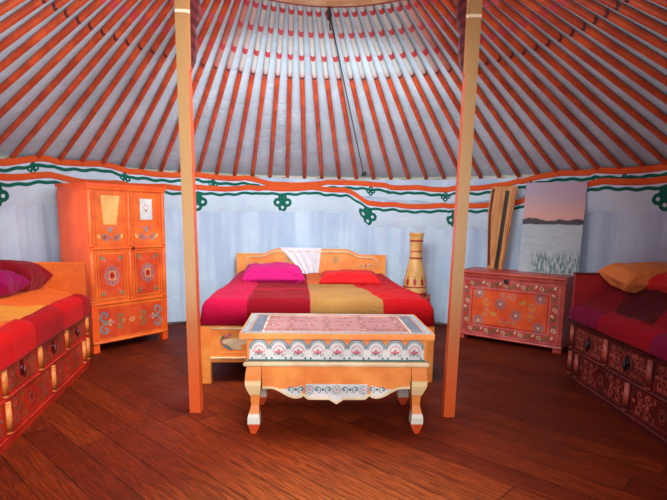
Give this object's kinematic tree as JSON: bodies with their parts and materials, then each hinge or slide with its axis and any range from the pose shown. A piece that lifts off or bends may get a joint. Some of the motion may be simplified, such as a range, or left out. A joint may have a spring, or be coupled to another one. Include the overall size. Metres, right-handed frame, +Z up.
{
  "type": "furnished yurt",
  "caption": "Round lattice-walled yurt with a pole roof carried by two posts and a crown ring, furnished with painted beds, wardrobe, chest and low table",
  "frame": {"origin": "on the axis of the round wall, at ground level under the floor joists", "axes": "+Z up, +Y from the doorway towards the back wall, +X to the right of someone coming in"},
  "size_m": [6.0516, 6.8304, 3.024],
  "materials": {
    "boards": "satin varnish",
    "softwood": "plain",
    "ochre_wood": "painted, satin",
    "red_wood": "painted, satin",
    "white_cloth": "matte",
    "canvas": "matte",
    "rope": "matte",
    "red_cloth": "soft",
    "magenta_cloth": "soft",
    "orange_cloth": "soft",
    "card": "matte"
  },
  "bodies": {
    "root": {"floor_boards": "boards", "floor_joists": "softwood", "threshold": "ochre_wood", "door_frame": "red_wood", "door_leaf": "red_wood", "lattice_right": "softwood", "lattice_back_right": "softwood", "lattice_back_left": "softwood", "lattice_left": "softwood", "wall_lining": "white_cloth", "wall_cover_right": "canvas", "wall_cover_back_right": "canvas", "wall_cover_back_left": "canvas", "wall_cover_left": "canvas", "poles_right": "red_wood", "poles_back": "red_wood", "poles_left": "red_wood", "poles_front": "red_wood", "crown_ring": "red_wood", "crown_spokes": "red_wood", "post_left": "ochre_wood", "post_right": "ochre_wood", "roof_lining": "white_cloth", "roof_cover_back_right": "canvas", "roof_cover_back_left": "canvas", "roof_cover_front_left": "canvas", "roof_cover_front_right": "canvas", "eave_skirt": "canvas", "crown_flap": "canvas", "girth_ropes": "rope", "roof_ropes": "rope", "crown_rope": "rope", "upper_border": "white_cloth", "lower_border": "white_cloth", "wardrobe_case": "red_wood", "wardrobe_doors": "ochre_wood", "wardrobe_drawer": "red_wood", "back_bed_frame": "red_wood", "back_bed_mattress": "white_cloth", "back_bed_quilt": "red_cloth", "back_bed_pillows": "magenta_cloth", "headboard_cloth": "white_cloth", "left_bed_base": "red_wood", "left_bed_quilt": "red_cloth", "left_bed_pillow": "magenta_cloth", "right_bed_base": "red_wood", "right_bed_quilt": "red_cloth", "right_bed_pillow": "orange_cloth", "chest_body": "red_wood", "chest_lid": "red_wood", "table_top": "red_wood", "table_body": "red_wood", "table_legs": "red_wood", "bedside_cabinet": "red_wood", "vase": "ochre_wood", "picture_sheet": "card", "leaning_board": "ochre_wood"}
  },
  "joints": []
}
